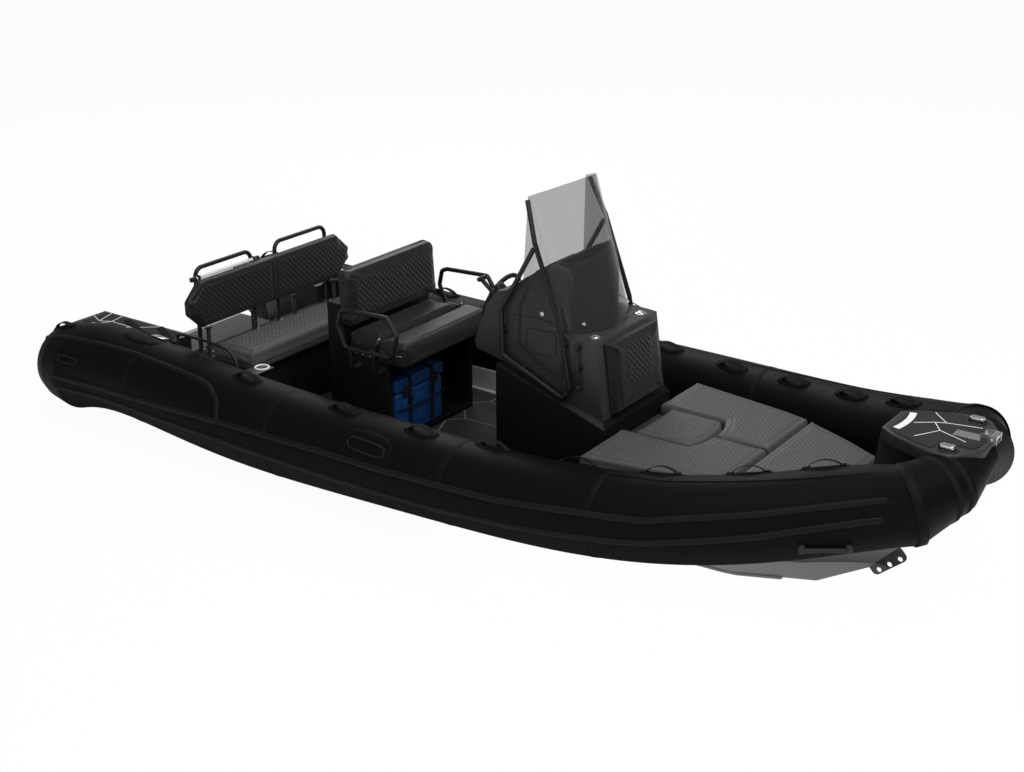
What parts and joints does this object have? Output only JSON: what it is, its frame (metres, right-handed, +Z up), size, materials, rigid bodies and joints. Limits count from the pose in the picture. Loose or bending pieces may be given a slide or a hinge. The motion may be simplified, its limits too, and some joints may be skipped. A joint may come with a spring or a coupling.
{
  "type": "inflatable rib boat",
  "caption": "Rigid hulled inflatable boat with side tubes, a centre console, a helm seat, an aft bench and a cushioned bow.",
  "frame": {"origin": "on the centreline, midships, at the waterline", "axes": "+X towards the bow, +Y to port, +Z up"},
  "size_m": [5.9952, 2.464, 2.2011],
  "materials": {
    "tube_fabric": "satin coated tube fabric",
    "hull_paint": "satin light grey paint on aluminium",
    "deck_foam": "dark grey foam deck sheet with pale routed lines",
    "moulding": "satin near black gelcoat",
    "upholstery": "dark grey marine vinyl with diamond quilting",
    "upholstery_dark": "near black marine vinyl",
    "rail_coat": "satin black powder coat",
    "stainless": "polished stainless steel",
    "fitting_dark": "moulded black",
    "screen": "lightly smoked clear sheet",
    "cool_box": "blue moulded plastic"
  },
  "bodies": {
    "boat": {"hull": "hull_paint", "transom": "hull_paint", "tube_starboard": "tube_fabric", "tube_port": "tube_fabric", "tube_bow": "tube_fabric", "sole": "deck_foam", "bow_platform": "moulding", "bow_cushion_starboard": "upholstery", "bow_cushion_port": "upholstery", "bow_cushion_front": "upholstery", "locker_cushion": "upholstery", "bow_step": "moulding", "bow_cleats": "stainless", "bow_eye": "fitting_dark", "console_base": "moulding", "console_body": "moulding", "console_cushion": "upholstery_dark", "windscreen": "screen", "console_rail_starboard": "rail_coat", "console_rail_port": "rail_coat", "helm_seat_box": "moulding", "helm_backrest": "upholstery_dark", "seat_rail_starboard": "rail_coat", "seat_rail_port": "rail_coat", "cool_box": "cool_box", "bench_base": "moulding", "bench_backrest": "upholstery_dark", "bench_posts": "rail_coat", "bench_rails": "rail_coat", "stern_step_starboard": "moulding", "stern_step_port": "moulding", "bow_locker_lid": "moulding", "helm_cushion": "upholstery_dark", "bolster_brackets": "stainless", "bow_roller": "stainless"},
    "steering_wheel": {"steering_wheel": "fitting_dark"},
    "helm_bolster": {"helm_bolster": "upholstery_dark"},
    "bench_lid": {"bench_lid": "moulding", "bench_cushion": "upholstery"}
  },
  "joints": [
    {"name": "steering", "type": "hinge", "parent": "boat", "child": "steering_wheel", "pos_m": [-0.01144, 0, 1.01492], "axis": [-0.9415, 0, 0.3371], "range_deg": [-720, 720]},
    {"name": "bolster_hinge", "type": "hinge", "parent": "boat", "child": "helm_bolster", "pos_m": [-0.63, 0, 0.75], "axis": [0, -1, 0], "range_deg": [0, 90]},
    {"name": "bench_lid_hinge", "type": "hinge", "parent": "boat", "child": "bench_lid", "pos_m": [-1.4917, 0, 0.4373], "axis": [0, 1, 0], "range_deg": [0, 90]}
  ]
}
